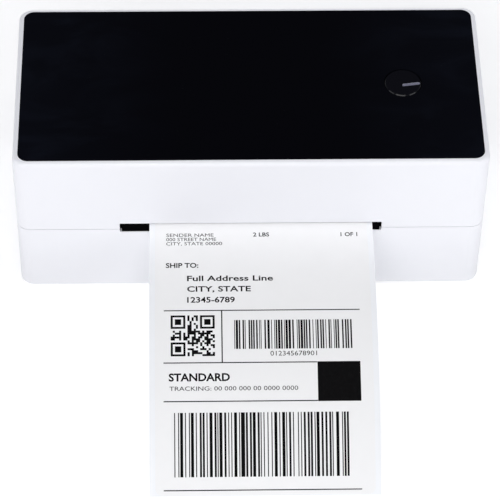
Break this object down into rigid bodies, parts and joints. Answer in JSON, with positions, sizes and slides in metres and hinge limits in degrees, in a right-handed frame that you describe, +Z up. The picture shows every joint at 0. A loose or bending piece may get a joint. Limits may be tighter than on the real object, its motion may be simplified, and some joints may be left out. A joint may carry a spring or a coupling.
{
  "type": "thermal label printer",
  "caption": "Desktop thermal label printer: white two-part housing, glossy black top with a round feed button, and a printed label hanging from the front slot.",
  "frame": {"origin": "centre of the housing's footprint, on the surface the rubber feet stand on", "axes": "+X to the right seen from the front, +Y to the rear (the label comes out towards -Y), +Z up"},
  "size_m": [0.225, 0.2374, 0.0887],
  "materials": {
    "white_shell": "fine satin moulded plastic",
    "white_inner": "satin moulded plastic",
    "black_panel": "polished black acrylic",
    "black_gloss": "polished black plastic",
    "black_plastic": "black moulded plastic",
    "cover_plastic": "textured grey-white plastic",
    "rocker": "black rocker",
    "light": "pale translucent light pipe",
    "feet_rubber": "soft black rubber",
    "platen_rubber": "ground rubber roller",
    "screw_steel": "zinc plated steel",
    "shaft_steel": "ground steel",
    "chassis_steel": "zinc plated sheet steel",
    "spring_steel": "drawn spring wire",
    "motor_metal": "black stepper case",
    "gear_plastic": "natural acetal",
    "brass": "machined brass",
    "bush": "black acetal",
    "board_green": "solder-masked glass epoxy",
    "chip": "moulded epoxy",
    "can": "sleeved capacitor cans",
    "connector": "white nylon",
    "usb_metal": "nickel plated shell",
    "cable": "black sleeve",
    "head_alu": "extruded aluminium",
    "head_ceramic": "glazed alumina",
    "liner": "glossy backing paper",
    "label_face": "matt thermal paper"
  },
  "bodies": {
    "base": {"base_shell": "white_shell", "bottom_cover": "cover_plastic", "rubber_feet": "feet_rubber", "bottom_screws": "screw_steel", "chassis": "chassis_steel", "hinge_pins": "shaft_steel", "platen_bushes": "bush", "idler_axle": "shaft_steel", "idler_clip": "shaft_steel", "motor_body": "motor_metal", "motor_screws": "screw_steel", "gear_cover": "white_inner", "front_guide": "black_plastic", "tear_bar": "black_plastic", "label_bed": "black_plastic", "bed_screws": "screw_steel", "gap_sensor": "black_plastic", "pinion_stud": "screw_steel", "main_board": "board_green", "board_screws": "screw_steel", "board_chips": "chip", "board_capacitors": "can", "board_headers": "connector", "dc_jack": "black_plastic", "dc_contact": "brass", "usb_port": "usb_metal", "switch_housing": "black_plastic", "motor_cable": "cable"},
    "platen": {"platen_shaft": "shaft_steel", "platen_roller": "platen_rubber", "platen_gear": "gear_plastic", "platen_clip": "shaft_steel"},
    "idler": {"idler_gear": "gear_plastic"},
    "motor_rotor": {"motor_shaft": "shaft_steel", "motor_pinion": "brass"},
    "guide_left": {"guide_left": "black_plastic"},
    "guide_right": {"guide_right": "black_plastic"},
    "guide_pinion": {"guide_pinion": "gear_plastic"},
    "power_switch": {"switch_rocker": "rocker"},
    "label": {"label_liner": "liner", "printed_label": "label_face", "next_label": "label_face"},
    "lid": {"lid_shell": "white_shell", "top_panel": "black_panel", "button_board": "board_green", "tact_switch": "chip", "button_board_screws": "screw_steel", "head_carrier": "black_plastic", "carrier_screws": "screw_steel", "head_pivot_pin": "shaft_steel", "head_springs": "spring_steel", "latch_spring_left": "spring_steel", "latch_spring_right": "spring_steel"},
    "print_head": {"head_bracket": "head_alu", "thermal_head": "head_ceramic"},
    "feed_button": {"feed_button": "black_gloss", "button_light": "light"},
    "release_left": {"release_left": "white_inner"},
    "release_right": {"release_right": "white_inner"}
  },
  "joints": [
    {"name": "lid_hinge", "type": "hinge", "parent": "base", "child": "lid", "pos_m": [0, 0.0525, 0.0427], "axis": [-1, 0, 0], "range_deg": [0, 80]},
    {"name": "head_float", "type": "hinge", "parent": "lid", "child": "print_head", "pos_m": [0, -0.012, 0.054], "axis": [-1, 0, 0], "range_deg": [0, 2.5], "stiffness_Nm_per_rad": 1.9, "springref_deg": -2.86, "deforming": ["head_springs"]},
    {"name": "feed_button_press", "type": "slide", "parent": "lid", "child": "feed_button", "axis": [0, 0, -1], "range_m": [0, 0.0008], "stiffness_N_per_m": 600, "springref_m": -0.0004},
    {"name": "release_left_press", "type": "slide", "parent": "lid", "child": "release_left", "axis": [1, 0, 0], "range_m": [0, 0.0025], "stiffness_N_per_m": 500, "springref_m": -0.001, "deforming": ["latch_spring_left"]},
    {"name": "release_right_press", "type": "slide", "parent": "lid", "child": "release_right", "axis": [-1, 0, 0], "range_m": [0, 0.0025], "stiffness_N_per_m": 500, "springref_m": -0.001, "deforming": ["latch_spring_right"]},
    {"name": "power_switch_rock", "type": "hinge", "parent": "base", "child": "power_switch", "pos_m": [0.086, 0.052, 0.0225], "axis": [1, 0, 0], "range_deg": [0, 18]},
    {"name": "label_feed", "type": "slide", "parent": "base", "child": "label", "axis": [0, -1, 0], "range_m": [-0.01, 0.012]},
    {"name": "platen_spin", "type": "hinge", "parent": "base", "child": "platen", "pos_m": [0, -0.037, 0.03787], "axis": [1, 0, 0], "continuous": true},
    {"name": "idler_spin", "type": "hinge", "parent": "base", "child": "idler", "pos_m": [-0.075, -0.02165, 0.02901], "axis": [1, 0, 0], "continuous": true},
    {"name": "motor_spin", "type": "hinge", "parent": "base", "child": "motor_rotor", "pos_m": [-0.06, -0.001, 0.0223], "axis": [1, 0, 0], "continuous": true},
    {"name": "guide_left_slide", "type": "slide", "parent": "base", "child": "guide_left", "axis": [1, 0, 0], "range_m": [0, 0.042]},
    {"name": "guide_right_slide", "type": "slide", "parent": "base", "child": "guide_right", "axis": [-1, 0, 0], "range_m": [0, 0.042]},
    {"name": "guide_pinion_spin", "type": "hinge", "parent": "base", "child": "guide_pinion", "pos_m": [0, 0.029, 0.04], "axis": [0, 0, 1], "continuous": true}
  ],
  "couplings": [
    {"joint": "platen_spin", "follows": "label_feed", "rad_per_m": 125},
    {"joint": "idler_spin", "follows": "label_feed", "rad_per_m": -180.56},
    {"joint": "motor_spin", "follows": "label_feed", "rad_per_m": 361.11},
    {"joint": "guide_right_slide", "follows": "guide_left_slide", "ratio": 1},
    {"joint": "guide_pinion_spin", "follows": "guide_left_slide", "rad_per_m": 125}
  ]
}
